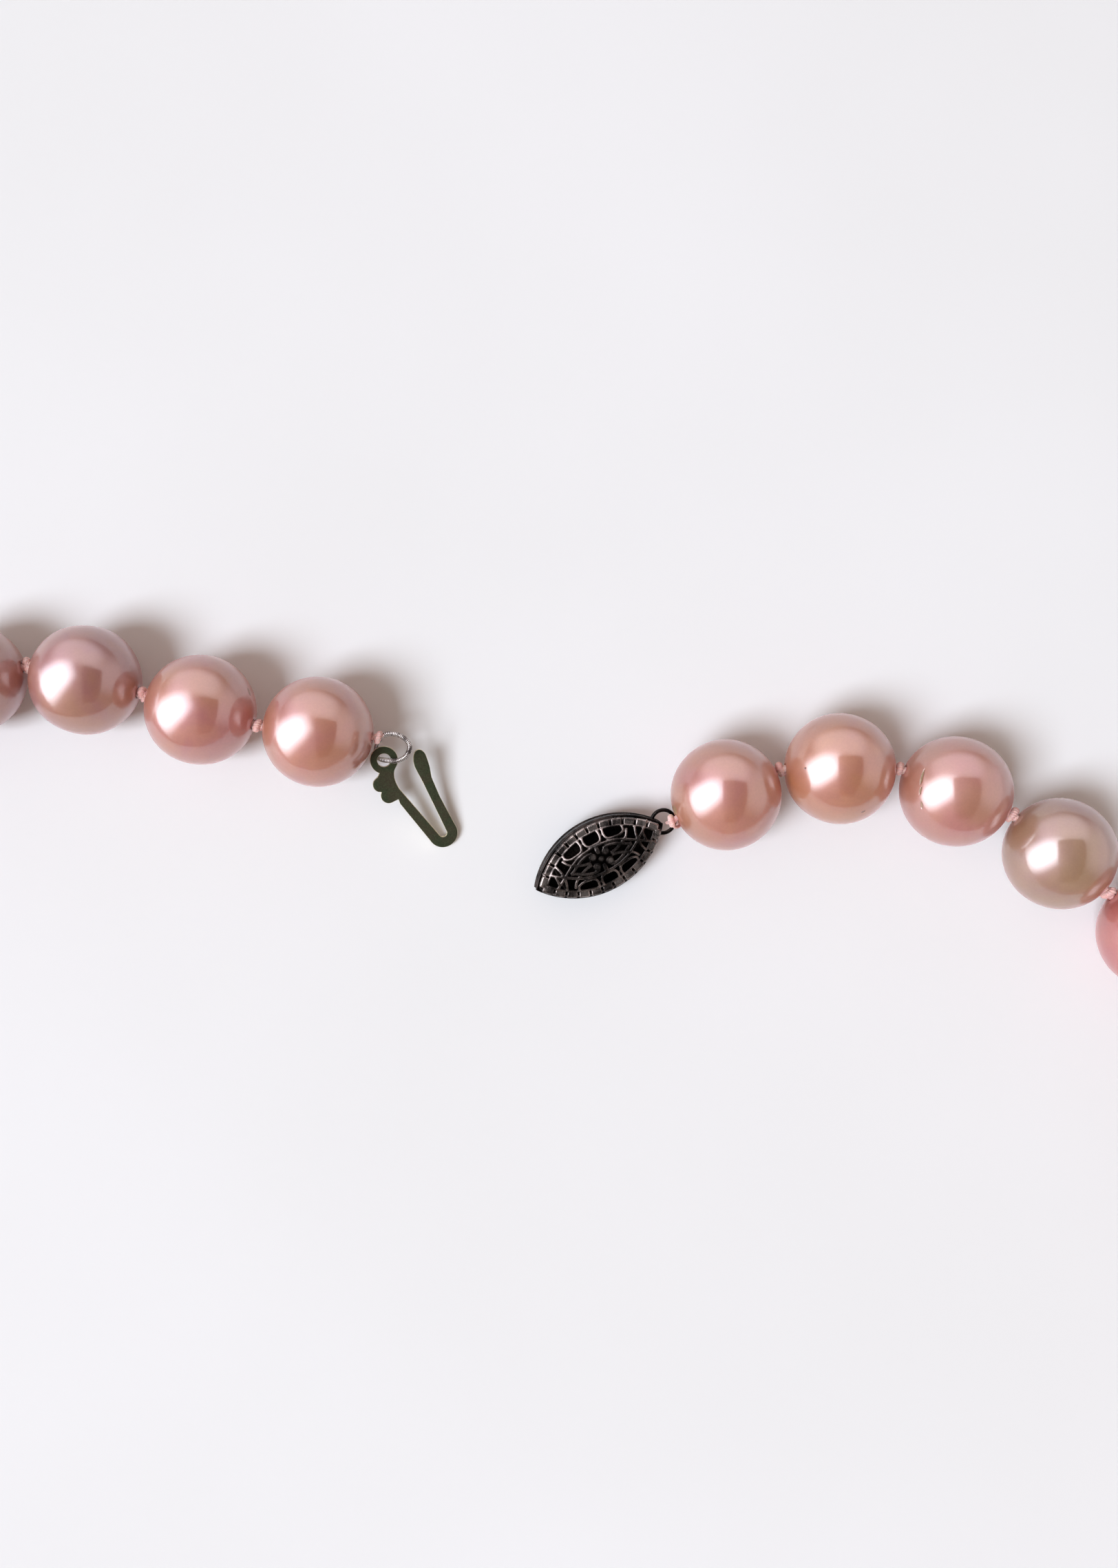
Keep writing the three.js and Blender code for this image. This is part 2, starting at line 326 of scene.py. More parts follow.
def nacre(name, body, tint, marks=()):
    """Dyed freshwater pearl: a cloudy body colour under a lustrous, slightly uneven gloss."""
    material, tree, shader = new_tree(name)
    place = node(tree, "TexCoord").outputs["Object"]
    clouds = noise(tree, place, 150, 3, 0.55, 0.4)
    wisps = noise(tree, place, 420, 3, 0.5, 0.3)
    grain = noise(tree, place, 5200, 2, 0.6)
    base = mixed(tree, ranged(tree, clouds, 0.34, 0.66), colour(*body), colour(*tint))
    pale = tuple(min(1.0, c * 1.14) for c in colour(*body)[:3]) + (1.0,)
    base = mixed(tree, ranged(tree, wisps, 0.4, 0.75, 0.0, 0.5), base, pale)
    base = node(tree, "HueSaturation", {
        "Value": ranged(tree, grain, 0.3, 0.7, 0.97, 1.03), "Color": base}).outputs[0]
    rough = ranged(tree, wisps, 0.3, 0.7, 0.42, 0.48)
    height = noise(tree, place, 240, 1, 0.4)
    for centre, along, length, width, paint, depth in marks:
        mask = mark_mask(tree, place, centre, along, length, width, MARK_RAGGED)
        base = mixed(tree, maths(tree, "MULTIPLY", mask, MARK_STRENGTH), base, colour(*paint))
        height = maths(tree, "SUBTRACT", height, maths(tree, "MULTIPLY", mask, depth))
        rough = maths(tree, "ADD", rough, maths(tree, "MULTIPLY", mask, MARK_ROUGHNESS))
    tree.links.new(base, shader.inputs["Base Color"])
    tree.links.new(rough, shader.inputs["Roughness"])
    uneven = bumped(tree, height, 0.05 * MM, 0.8)
    tree.links.new(uneven, shader.inputs["Normal"])
    tree.links.new(uneven, shader.inputs["Coat Normal"])
    set_inputs(shader, NACRE_GLOSS)
    return material


def silk_material():
    """Pale pink silk with the fine lustre of its twisted plies."""
    material, tree, shader = new_tree("silk")
    place = node(tree, "TexCoord").outputs["Object"]
    fibres = noise(tree, place, 9000, 3, 0.65, 0.8)
    blotches = noise(tree, place, 900, 2)
    base = mixed(tree, ranged(tree, blotches, 0.35, 0.65), colour(226, 172, 168), colour(238, 200, 193))
    base = mixed(tree, ranged(tree, fibres, 0.4, 0.8, 0.0, 0.45), base, colour(206, 140, 134))
    tree.links.new(base, shader.inputs["Base Color"])
    tree.links.new(ranged(tree, fibres, 0.3, 0.7, 0.38, 0.6), shader.inputs["Roughness"])
    tree.links.new(bumped(tree, fibres, 0.03 * MM, 0.7), shader.inputs["Normal"])
    set_inputs(shader, SILK_SHEEN)
    return material


def gimp_material():
    """Silvery bullion wire, a little tarnished in patches, with shade painted near-black into the grooves
    between its turns.
    """
    material, tree, shader = new_tree("gimp_wire")
    place = node(tree, "TexCoord").outputs["Object"]
    patches = noise(tree, place, 1400, 3, 0.6)
    painted_groove_shade = node(tree, "Attribute", attribute_name="painted_groove_shade").outputs["Fac"]
    base = mixed(tree, ranged(tree, patches, 0.4, 0.68), colour(196, 191, 187), colour(92, 85, 82))
    # Painted shade: the grooves between the turns are painted near-black.
    base = mixed(tree, painted_groove_shade, base, colour(22, 19, 19))
    tree.links.new(base, shader.inputs["Base Color"])
    tree.links.new(ranged(tree, patches, 0.35, 0.7, 0.16, 0.34), shader.inputs["Roughness"])
    tree.links.new(bumped(tree, patches, 0.01 * MM, 0.5), shader.inputs["Normal"])
    shader.inputs["Metallic"].default_value = 1.0
    return material


def hook_material():
    """Stamped metal under an olive-brown tarnish; its cut edges are bare, more metallic and glossier, and
    painted pale cream as a highlight.
    """
    material, tree, shader = new_tree("hook_metal")
    place = node(tree, "TexCoord").outputs["Object"]
    clouds = noise(tree, place, 620, 4, 0.6, 0.5)
    grain = noise(tree, place, 9500, 3, 0.7)
    edge = node(tree, "Attribute", attribute_name="edge").outputs["Fac"]
    base = mixed(tree, ranged(tree, clouds, 0.38, 0.62), colour(36, 43, 24), colour(48, 41, 27))
    base = mixed(tree, ranged(tree, grain, 0.35, 0.7, 0.0, 0.5), base, colour(66, 73, 48))
    # Painted highlight: the middle of the edge walls is painted pale cream, as bare metal lit from the
    # side.
    bare_edge_highlight = maths(tree, "MULTIPLY", edge, ranged(tree, clouds, 0.25, 0.6, 0.5, 1.0))
    base = mixed(tree, bare_edge_highlight, base, colour(232, 222, 192))
    tree.links.new(base, shader.inputs["Base Color"])
    rough = maths(tree, "SUBTRACT", ranged(tree, grain, 0.3, 0.7, 0.5, 0.66),
                 maths(tree, "MULTIPLY", bare_edge_highlight, 0.25))
    tree.links.new(rough, shader.inputs["Roughness"])
    height = maths(tree, "ADD", maths(tree, "MULTIPLY", grain, 0.25), clouds)
    tree.links.new(bumped(tree, height, 0.02 * MM, 0.6), shader.inputs["Normal"])
    tree.links.new(ranged(tree, bare_edge_highlight, 0.0, 0.8, 0.25, 0.95), shader.inputs["Metallic"])
    shader.inputs["Specular IOR Level"].default_value = 0.25
    return material


def clasp_material():
    """Tarnished cast silver: bare on what stands proud, brown-black in the recesses."""
    material, tree, shader = new_tree("clasp_metal")
    place = node(tree, "TexCoord").outputs["Object"]
    clouds = noise(tree, place, 700, 4, 0.6, 0.4)
    grain = noise(tree, place, 6500, 3, 0.65)
    proud = node(tree, "Attribute", attribute_name="proud").outputs["Fac"]
    bare = maths(tree, "MULTIPLY", proud, ranged(tree, clouds, 0.35, 0.62, 0.15, 1.0))
    dark = mixed(tree, ranged(tree, clouds, 0.4, 0.62), colour(15, 13, 12), colour(40, 34, 31))
    base = mixed(tree, bare, dark, colour(154, 143, 138))
    tree.links.new(base, shader.inputs["Base Color"])
    rough = maths(tree, "SUBTRACT", ranged(tree, grain, 0.3, 0.7, 0.24, 0.38),
                 maths(tree, "MULTIPLY", bare, 0.12))
    tree.links.new(rough, shader.inputs["Roughness"])
    height = maths(tree, "ADD", maths(tree, "MULTIPLY", grain, 0.3), clouds)
    tree.links.new(bumped(tree, height, 0.03 * MM, 0.6), shader.inputs["Normal"])
    tree.links.new(ranged(tree, bare, 0.0, 1.0, 0.92, 0.76), shader.inputs["Metallic"])
    return material


def floor_material():
    """A plain pale tabletop with the faintest unevenness."""
    material, tree, shader = new_tree("tabletop")
    place = node(tree, "TexCoord").outputs["Object"]
    clouds = noise(tree, place, 14, 3)
    base = mixed(tree, ranged(tree, clouds, 0.3, 0.7), colour(240, 239, 241), colour(244, 243, 246))
    tree.links.new(base, shader.inputs["Base Color"])
    shader.inputs["Roughness"].default_value = 0.9
    shader.inputs["Specular IOR Level"].default_value = 0.06
    return material


# ---------- pearls ----------

# Body colour and second tint of each dyed pearl, by the record's slots. The nine pearls that the
# photo shows have the slots in END_SLOTS, and the hidden ones take the six in turn
PEARL_PAINTS = {
    "pearl_peach": ((178, 118, 90), (176, 108, 103)),
    "pearl_orange": ((179, 120, 82), (176, 113, 92)),
    "pearl_pink": ((174, 119, 96), (178, 112, 105)),
    "pearl_taupe": ((156, 121, 91), (152, 110, 100)),
    "pearl_coral": ((190, 108, 90), (186, 100, 98)),
    "pearl_mauve": ((162, 111, 87), (154, 97, 96)),
}
END_SLOTS = {1: "pearl_peach", 2: "pearl_peach", 3: "pearl_mauve", 4: "pearl_mauve", 39: "pearl_coral",
             40: "pearl_taupe", 41: "pearl_pink", 42: "pearl_orange", 43: "pearl_peach"}
SLOT_ORDER = ("pearl_peach", "pearl_orange", "pearl_pink", "pearl_taupe", "pearl_coral", "pearl_mauve")
SLOT_STEP = 5
# Flaws that the photo shows, by pearl: direction from its centre, direction of the streak,
# its half length and half width, its colour and how deep it goes
BLEMISHES = {
    41: [((-0.76, 0.19, 0.62), (-0.29, -0.96, 0), 0.75 * MM, 0.15 * MM, (122, 108, 48), 2.2),
         ((-0.79, -0.05, 0.6), (-0.5, -0.8, 0), 0.4 * MM, 0.12 * MM, (136, 108, 58), 1.6),
         ((-0.77, -0.31, 0.56), (0.3, 0.9, 0), 0.35 * MM, 0.14 * MM, (146, 112, 66), 1.4)],
    42: [((-0.74, -0.07, 0.66), (1, 0.2, 0), 0.13 * MM, 0.1 * MM, (112, 78, 62), 1.6),
         ((0.3, -0.82, 0.49), (1, 0.5, 0), 0.22 * MM, 0.14 * MM, (104, 76, 52), 1.2)],
    43: [((-0.93, -0.32, 0.1), (0, 0.4, 1), 0.9 * MM, 0.6 * MM, (168, 140, 92), 0.2)],
    2: [((0.93, 0.3, 0.23), (0, 1, 0.2), 0.4 * MM, 0.24 * MM, (118, 88, 46), 0.8)],
}


def pearl_slot(number):
    return END_SLOTS.get(number, SLOT_ORDER[((number - 1) * SLOT_STEP) % len(SLOT_ORDER)])


def pearl_mesh(name, seed):
    """A drilled, nearly round pearl about its own x axis, with softly rounded drill mouths."""
    shape = np.random.default_rng(seed)
    mouth = math.asin((BORE_RADIUS + BORE_ROUNDING) / PEARL_RADIUS)
    profile = [(-0.5 * PEARL_RADIUS, BORE_RADIUS)]
    rim_x = -PEARL_RADIUS * math.cos(mouth)
    for turn in np.linspace(0, 0.5 * math.pi, 6)[:-1]:
        profile.append((rim_x + BORE_ROUNDING * (1 - math.sin(turn)),
                        BORE_RADIUS + BORE_ROUNDING * (1 - math.cos(turn))))
    profile += [(-PEARL_RADIUS * math.cos(a), PEARL_RADIUS * math.sin(a))
                for a in np.linspace(mouth, math.pi - mouth, PEARL_RINGS)]
    profile += [(-x, r) for x, r in profile[5::-1]]
    profile = np.array(profile)
    turns = np.linspace(0, 2 * math.pi, PEARL_SIDES, endpoint=False)
    x = np.repeat(profile[:, 0], PEARL_SIDES)
    r = np.repeat(profile[:, 1], PEARL_SIDES)
    points = np.stack([x, r * np.tile(np.cos(turns), len(profile)),
                       r * np.tile(np.sin(turns), len(profile))], axis=1)
    outward = points / np.linalg.norm(points, axis=1)[:, None]
    swell = np.zeros(len(points))
    for size in PEARL_SWELLS:
        pull = shape.normal(size=3)
        swell += size * np.sin((outward @ pull) * 2.0 + shape.uniform(0, 6.28))
    points *= (1 + swell - swell.max())[:, None]
    sides, rings = PEARL_SIDES, len(profile)
    faces = [(i * sides + j, i * sides + (j + 1) % sides,
              (i + 1) % rings * sides + (j + 1) % sides, (i + 1) % rings * sides + j)
             for i in range(rings) for j in range(sides)]
    return mesh_of(name, points, faces)


def pearl_matrix(index):
    """Local x along the silk, turned about it by an angle of its own."""
    along = KNOTS[index + 1] - KNOTS[index]
    spin = Matrix.Rotation(index * PEARL_SPIN, 3, "X")
    return Matrix.Translation(PEARL_CENTRES[index]) @ (frame_from(along, Z) @ spin).to_4x4()


def add_pearls():
    shared = {slot: nacre(slot, *paints) for slot, paints in PEARL_PAINTS.items()}
    for number in range(1, PEARL_COUNT + 1):
        matrix = pearl_matrix(number - 1)
        slot = pearl_slot(number)
        material = shared[slot]
        if number in BLEMISHES:
            turn = matrix.to_3x3().inverted()
            marks = [((turn @ Vector(at).normalized()) * PEARL_RADIUS, turn @ Vector(along), *rest)
                     for at, along, *rest in BLEMISHES[number]]
            material = nacre(f"{slot}_{number:02d}", *PEARL_PAINTS[slot], marks)
        pearl = add_piece(f"{pearl_name(number)}_nacre", pearl_mesh(f"pearl_{number}", number),
                          material, matrix)
        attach(pearl, pearl_name(number))
        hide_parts(pearl_name(number))


# ---------- silk ----------

THREAD_RADIUS = 0.285 * MM
KNOT_LENGTH = 0.15 * MM
KNOT_BREADTH = 0.41 * MM
KNOT_LEAD = 1.1 * MM
END_KNOT_SIZE = 0.8
END_KNOT_TAIL = 0.25 * MM
KNOT_TURN = 1.1
END_KNOT_TURN = 0.6
CLASP_LOOP_RADIUS = 0.13 * MM
HOOK_LOOP_RADIUS = 0.1 * MM
EYE = joint_place("hook_swing")
# The silk's end loop through the hook's eye, in millimetres from the middle of the eye
HOOK_LOOP = [
    (-0.3, 1.6, 1.6), (0.55, 1.95, 1.5), (1.5, 1.8, 1.25), (2.2, 1.1, 1.05), (1.9, 0.2, 0.85),
    (1.1, -0.15, 0.6), (0.53, -0.1, 0.39), (0, 0, 0), (-0.52, 0.2, -0.4), (-0.72, 0.75, -0.5),
    (-0.54, 1.35, -0.05), (-0.25, 1.65, 0.8), (-0.3, 1.6, 1.6),
]
# The silk's end loop round the clasp's ring, in millimetres from the last knot
CLASP_LOOP = [
    (0, 0, 0), (-0.25, -0.12, -0.8), (-0.2, -0.05, -1.7), (0.05, 0.05, -2.4), (0.45, -0.03, -2.9),
    (0.83, -0.15, -2.4), (0.67, -0.38, -1.6), (0.3, -0.44, -0.9), (0, 0, 0),
]


def plied(turns):
    """The section of a thread twisted from three plies."""
    return lambda share, angles: 1 + 0.14 * np.cos(3 * (angles - 2 * math.pi * turns * share))


def overhand(along_size, across_size, steps):
    """The centreline of an overhand knot along x, from the polynomial trefoil."""
    t = np.linspace(-1.96, 1.96, steps)
    along = (t ** 5 - 10 * t) / 12
    across = (t ** 3 - 3 * t) / 2
    rise = (t ** 4 - 4 * t ** 2) / 4 + 0.5
    return np.stack([along * along_size, across * across_size, rise * across_size], axis=1)


def silk_knot_mesh(name, here, before, after, turn=0.0, leads=(KNOT_LEAD, KNOT_LEAD), size=1.0):
    """A tight knot at a pearl's drill mouth, with the thread running on both ways."""
    basis = np.array(frame_from(after - before, Z) @ Matrix.Rotation(turn, 3, "X"))
    loop = overhand(KNOT_LENGTH * size, KNOT_BREADTH * size, 61) @ basis.T + np.array(here)
    start = np.array(here + (before - here).normalized() * leads[0])
    end = np.array(here + (after - here).normalized() * leads[1])
    path = smooth_path([start, start * 0.5 + np.array(here) * 0.5, *loop[6:-6:3],
                        end * 0.5 + np.array(here) * 0.5, end], 150)
    return mesh_of(name, *tube(path, THREAD_RADIUS * size, 18, section=plied(10)))


def as_silk():
    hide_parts("silk_thread")


def add_knots(material):
    for i in range(1, PEARL_COUNT):
        name = f"silk_knot_{i:02d}"
        before, after = PEARL_CENTRES[i - 1], PEARL_CENTRES[i]
        knot = add_piece(name, silk_knot_mesh(name, KNOTS[i], before, after, turn=KNOT_TURN * i), material)
        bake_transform(knot)
        as_silk()


def add_end_knots(material):
    ends = ((KNOTS[0], PEARL_CENTRES[0], 1), (KNOTS[-1], PEARL_CENTRES[-1], PEARL_COUNT))
    for here, pearl, number in ends:
        beyond = 2 * here - pearl
        name = f"silk_end_knot_{number:02d}"
        leads = (KNOT_LEAD, END_KNOT_TAIL)
        mesh = silk_knot_mesh(name, here, pearl, beyond, END_KNOT_TURN, leads, END_KNOT_SIZE)
        knot = add_piece(name, mesh, material)
        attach(knot, pearl_name(number))
        as_silk()


def add_end_loops(material):
    path = smooth_path(np.array(CLASP_LOOP) * MM + np.array(KNOTS[-1]), 90)
    mesh = mesh_of("silk_clasp_loop", *tube(path, CLASP_LOOP_RADIUS, 12, section=plied(16)))
    loop = add_piece("silk_clasp_loop", mesh, material)
    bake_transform(loop)
    as_silk()
    path = smooth_path(np.array(HOOK_LOOP) * MM + np.array(EYE), 110)
    mesh = mesh_of("silk_hook_loop", *tube(path, HOOK_LOOP_RADIUS, 10, section=plied(18)))
    loop = add_piece("silk_hook_loop", mesh, material)
    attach(loop, "gimp_loop")
    as_silk()


# ---------- gimp and hook ----------

# The part of the hook's loop of silk that the gimp covers, the length of one turn of its wire,
# the radius of the turns and of the wire, and how finely each is divided
GIMP_SHARE = (0.05, 0.95)
GIMP_PITCH = 0.135 * MM
GIMP_COIL = 0.15 * MM
GIMP_WIRE = 0.064 * MM
GIMP_STEPS = 12
GIMP_SIDES = 8


def add_gimp(material):
    """Fine wire wound into a sleeve round the loop of silk."""
    loop = smooth_path(np.array(HOOK_LOOP) * MM + np.array(EYE), 400)
    first, last = (int(share * len(loop)) for share in GIMP_SHARE)
    loop = loop[first:last]
    length = np.linalg.norm(np.diff(loop, axis=0), axis=1).sum()
    count = int(length / GIMP_PITCH * GIMP_STEPS)
    spine = smooth_path(loop[::4], count)
    _, side, up = carried_frames(spine)
    turn = (np.arange(count) * 2 * math.pi / GIMP_STEPS)[:, None]
    helix = spine + GIMP_COIL * (side * np.cos(turn) + up * np.sin(turn))
    points, faces = tube(helix, GIMP_WIRE, GIMP_SIDES)
    mesh = mesh_of("gimp_wire", points, faces)
    # The side of the wire towards the coil's middle, in the grooves between turns, is marked for painted
    # shade.
    depth = np.linalg.norm(points - np.repeat(spine, GIMP_SIDES, axis=0), axis=1)
    painted_groove_shade = np.clip((GIMP_COIL + 0.4 * GIMP_WIRE - depth) / (0.6 * GIMP_WIRE), 0, 1)
    store(mesh, "painted_groove_shade", painted_groove_shade)
    gimp = add_piece("gimp_coil", mesh, material)
    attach(gimp, "gimp_loop")
    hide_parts("gimp_loop")


def arc(centre, radius, start, end, count=24):
    """Points on a circle in a plane, from one angle to another in degrees."""
    angles = np.radians(np.linspace(start, end, count))
    return [(centre[0] + radius * math.cos(a), centre[1] + radius * math.sin(a)) for a in angles]


def quadratic(start, pull, end, count=8):
    return [tuple((1 - t) ** 2 * np.array(start) + 2 * t * (1 - t) * np.array(pull) + t * t * np.array(end))
            for t in np.linspace(0, 1, count)[1:]]


# The hook's plate, in millimetres from the middle of its eye
BEND = (7.75, 0.75)
BEND_OUTER, BEND_INNER = 1.19, 0.38
EYE_RADIUS, EYE_HOLE_RADIUS = 1.1, 0.55
PLATE_THICKNESS = 0.45
PLATE_ROUNDING = 0.045
PLATE_INSET = 0.04
EDGE_SPACING = 0.07
NET_SPACING = 0.16
NET_WAVE = 0.012


def hook_outline():
    """The edge of the stamped plate: eye, two lobes, shoulder, arm, bend and return arm."""
    edge = arc((0, 0), EYE_RADIUS, 32, 310, 60)
    edge += arc((1.54, -1.36), 0.58, 170, 320)
    edge += arc((2.66, -1.27), 0.62, 205, 350)
    edge += [(3.33, -0.72), (3.72, -0.84)]
    edge += arc(BEND, BEND_OUTER, -90, 95, 40)
    edge += [(5, 2.16), (3.3, 2.46), (2.5, 2.8)]
    edge += quadratic(edge[-1], (1.9, 2.98), (1.4, 3.08))
    edge += quadratic(edge[-1], (0.7, 3.06), (0.8, 2.52))
    edge += quadratic(edge[-1], (1.2, 1.95), (1.9, 1.82))
    edge += [(3.3, 1.69), (5.7, 1.39)]
    edge += arc(BEND, BEND_INNER, 95, -90)
    edge += [(2.66, -0.28)]
    edge += quadratic(edge[-1], (1.25, -0.25), edge[0])[:-1]
    return edge


def evenly(outline, spacing, soften):
    """A closed outline with evenly spaced points and slightly softened corners."""
    points = np.array([*outline, outline[0]])
    run = np.concatenate([[0], np.cumsum(np.linalg.norm(np.diff(points, axis=0), axis=1))])
    stops = np.linspace(0, run[-1], int(run[-1] / spacing), endpoint=False)
    points = np.stack([np.interp(stops, run, points[:, i]) for i in (0, 1)], axis=1)
    for _ in range(soften):
        points = 0.5 * points + 0.25 * (np.roll(points, 1, axis=0) + np.roll(points, -1, axis=0))
    return points


def inward(outline):
    """Unit vectors pointing into a counter-clockwise outline, in its plane."""
    ahead = np.roll(outline, -1, axis=0) - np.roll(outline, 1, axis=0)
    ahead /= np.linalg.norm(ahead, axis=1)[:, None]
    return np.stack([-ahead[:, 1], ahead[:, 0]], axis=1)


def within(place, loop):
    """Whether a place is inside a closed loop."""
    x, y = place
    after = np.roll(loop, -1, axis=0)
    crosses = (loop[:, 1] > y) != (after[:, 1] > y)
    rise = np.where(crosses, after[:, 1] - loop[:, 1], 1.0)
    at = loop[:, 0] + (y - loop[:, 1]) * (after[:, 0] - loop[:, 0]) / rise
    return np.count_nonzero(crosses & (at > x)) % 2 == 1


def filled(rims, step):
    """Points and triangles that fill the first rim, except inside the others."""
    def on_plate(place):
        return within(place, rims[0]) and not any(within(place, rim) for rim in rims[1:])

    points = [tuple(p) for rim in rims for p in rim]
    edges, start = [], 0
    for rim in rims:
        edges += [(start + j, start + (j + 1) % len(rim)) for j in range(len(rim))]
        start += len(rim)
    low, high = rims[0].min(axis=0), rims[0].max(axis=0)
    for x in np.arange(low[0], high[0], step):
        for y in np.arange(low[1], high[1], step):
            clear = all(np.linalg.norm(rim - (x, y), axis=1).min() > 0.6 * step for rim in rims)
            if clear and on_plate((x, y)):
                points.append((x, y))
    found = geometry.delaunay_2d_cdt([Vector(p) for p in points], edges, [], 0, 1e-7)
    origin = [starts[0] for starts in found[3]]
    triangles = [tuple(origin[i] for i in face) for face in found[2]]
    triangles = [face for face in triangles if on_plate(sum(np.array(points[i]) for i in face) / 3)]
    return points, triangles


def plate_layers():
    """How far in and how high each row of points round the plate's edge lies."""
    layers = []
    for turn in np.linspace(-90, 90, 9):
        side = math.copysign(1, turn) if turn else 0
        inset = PLATE_ROUNDING * (1 - math.cos(math.radians(turn)))
        height = (side * (PLATE_THICKNESS / 2 - PLATE_ROUNDING)
                  + PLATE_ROUNDING * math.sin(math.radians(turn)))
        layers.append((inset, height))
    return layers


def wall_faces(counts, layers):
    """Quads that join each layer of closed loops to the next."""
    faces = []
    per_layer = sum(counts)
    for layer in range(layers - 1):
        start = 0
        for count in counts:
            for j in range(count):
                a = layer * per_layer + start + j
                b = layer * per_layer + start + (j + 1) % count
                faces.append((a, b, b + per_layer, a + per_layer))
            start += count
    return faces


def plate_mesh(name, outer, hole):
    """A stamped plate: rounded edges, and faces with a fine net of points so that they can be uneven."""
    loops = [outer, hole[::-1]]
    insets = [inward(loop) for loop in loops]
    layers = plate_layers()
    points, edge = [], []
    for inset, height in layers:
        for loop, inner in zip(loops, insets):
            for p in loop + inner * inset:
                points.append((p[0], p[1], height))
                # Points on the middle of the rounded walls get edge 1, where the material paints a
                # highlight.
                edge.append(1.0 if inset < 0.5 * PLATE_ROUNDING else 0.0)
    faces = wall_faces([len(loop) for loop in loops], len(layers))
    per_layer = sum(len(loop) for loop in loops)
    rims = [loop + inner * PLATE_ROUNDING for loop, inner in zip(loops, insets)]
    net, triangles = filled(rims, NET_SPACING)
    top = (len(layers) - 1) * per_layer
    for base, flip in ((0, True), (top, False)):
        height = layers[0 if flip else -1][1]
        index = list(range(base, base + per_layer))
        for x, y in net[per_layer:]:
            index.append(len(points))
            wave = NET_WAVE * math.sin(2.1 * x + 1.3 * y) * math.sin(1.7 * y - 0.9 * x)
            points.append((x, y, height + wave))
            edge.append(0.0)
        for face in triangles:
            corners = [index[i] for i in face]
            faces.append(tuple(reversed(corners)) if flip else tuple(corners))
    mesh = mesh_of(name, np.array(points) * MM, faces, 40)
    store(mesh, "edge", np.clip(edge, 0, 1))
    return mesh


def add_hook(material):
    """One sprung stamping, in place of the two parts that the CAD splits it into."""
    normal = Vector(JOINTS["hook_swing"]["axis"])
    bend = joint_place("spring_arm_flex")
    along = Matrix.Rotation(-math.atan2(BEND[1], BEND[0]), 3, normal) @ (bend - EYE)
    matrix = Matrix.Translation(EYE) @ frame_from(along, normal).to_4x4()
    outer = evenly(hook_outline(), EDGE_SPACING, 3)
    outer = outer - PLATE_INSET * inward(outer)
    hole = evenly(arc((0, 0), EYE_HOLE_RADIUS, 0, 360, 41)[:-1], EDGE_SPACING, 0)
    hook = add_piece("hook_stamping", plate_mesh("hook", outer, hole), material, matrix)
    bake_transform(hook)
    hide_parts("hook_tongue", "hook_spring_arm")


# ---------- clasp body, in millimetres about its own middle until it is placed ----------

CLASP_LENGTH = 11.8
CLASP_WIDTH = 6.0
CLASP_HALF_HEIGHT = 1.75
CLASP_HEADING = math.radians(27.5)
CLASP_ROLL = math.radians(15)
ARC_RADIUS = (CLASP_LENGTH ** 2 + CLASP_WIDTH ** 2) / (4 * CLASP_WIDTH)
ARC_OFFSET = ARC_RADIUS - CLASP_WIDTH / 2
RIM_HEIGHT = 0.62
# One quarter of the pattern; each wire is repeated across both middle lines
FILIGREE_WIRES = [
    [(4.75, -0.95), (4.36, -0.70), (3.57, -0.17), (2.71, 0.38), (1.96, 0.78), (1.02, 1.05), (0, 1.13)],
    [(0.95, 0.1), (1.5, 0.2), (2.05, 0.42), (2.6, 0.75), (2.95, 1.25)],
    [(0, 1.27), (0.38, 1.28), (0.62, 1.42), (0.72, 1.75), (0.7, 2.1)],
    [(1.1, 2.05), (1.04, 1.6), (1.2, 1.25), (1.7, 1.12), (2.25, 1.08), (2.62, 1.25), (2.7, 1.6)],
    [(0.5, 0.75), (1.1, 0.74), (1.75, 0.52), (2.3, 0.2), (2.75, 0)],
    [(3.95, 0), (3.97, 0.45)],
    [(3.35, 0.1), (3.42, 0.55), (3.6, 1.1)],
    [(0, 0.45), (0.08, 0.8), (0, 1.13)],
]
# Beads of the flower in the middle: place and radius, repeated in the same way
FLOWER = [(0, 0, 0.27), (0.58, 0.42, 0.37), (1.06, 0, 0.2), (0, 0.76, 0.21)]
RIM_BLOCKS = 12
RIM_BLOCK_GAP = 0.2
DOME_VOXEL = 0.05 * MM
RING_VOXEL = 0.03 * MM
RING_X = 6
RING_RADIUS = 0.97
RING_WIRE = 0.165
RING_FOOT = 0.23
# Heights of the rows of points up the band, and where its slot for the hook begins
BAND_ROWS = (-0.58, -0.36, -0.2, 0, 0.2, 0.36, 0.58)
SLOT_FROM = -4.8
SLOT_HALF_HEIGHT = 0.35
BAR_X = -3.6
BAR_HALF_LENGTH = 1.27
SOFT_BEVEL = ("BEVEL", {"width": 0.03 * MM, "segments": 2, "limit_method": "ANGLE"})


def half_width(x):
    return np.sqrt(np.maximum(ARC_RADIUS ** 2 - x ** 2, 0)) - ARC_OFFSET


def dome_height(x, y):
    """How high the dome stands over the clasp's middle plane."""
    width = np.maximum(half_width(np.asarray(x, float)), 0.02)
    share = np.minimum(width / (CLASP_WIDTH / 2), 1)
    ridge = RIM_HEIGHT + (CLASP_HALF_HEIGHT - RIM_HEIGHT) * np.sin(0.5 * math.pi * share ** 0.8)
    return RIM_HEIGHT + (ridge - RIM_HEIGHT) * (1 - np.minimum(np.abs(y) / width, 1) ** 2.2)


def marquise(inset, count):
    """A closed pointed oval, as points in its plane."""
    radius = ARC_RADIUS - inset
    low = math.asin(ARC_OFFSET / radius)
    turns = np.linspace(low, math.pi - low, count // 2, endpoint=False)
    upper = np.stack([radius * np.cos(turns), radius * np.sin(turns) - ARC_OFFSET], axis=1)
    return np.concatenate([upper, -upper])


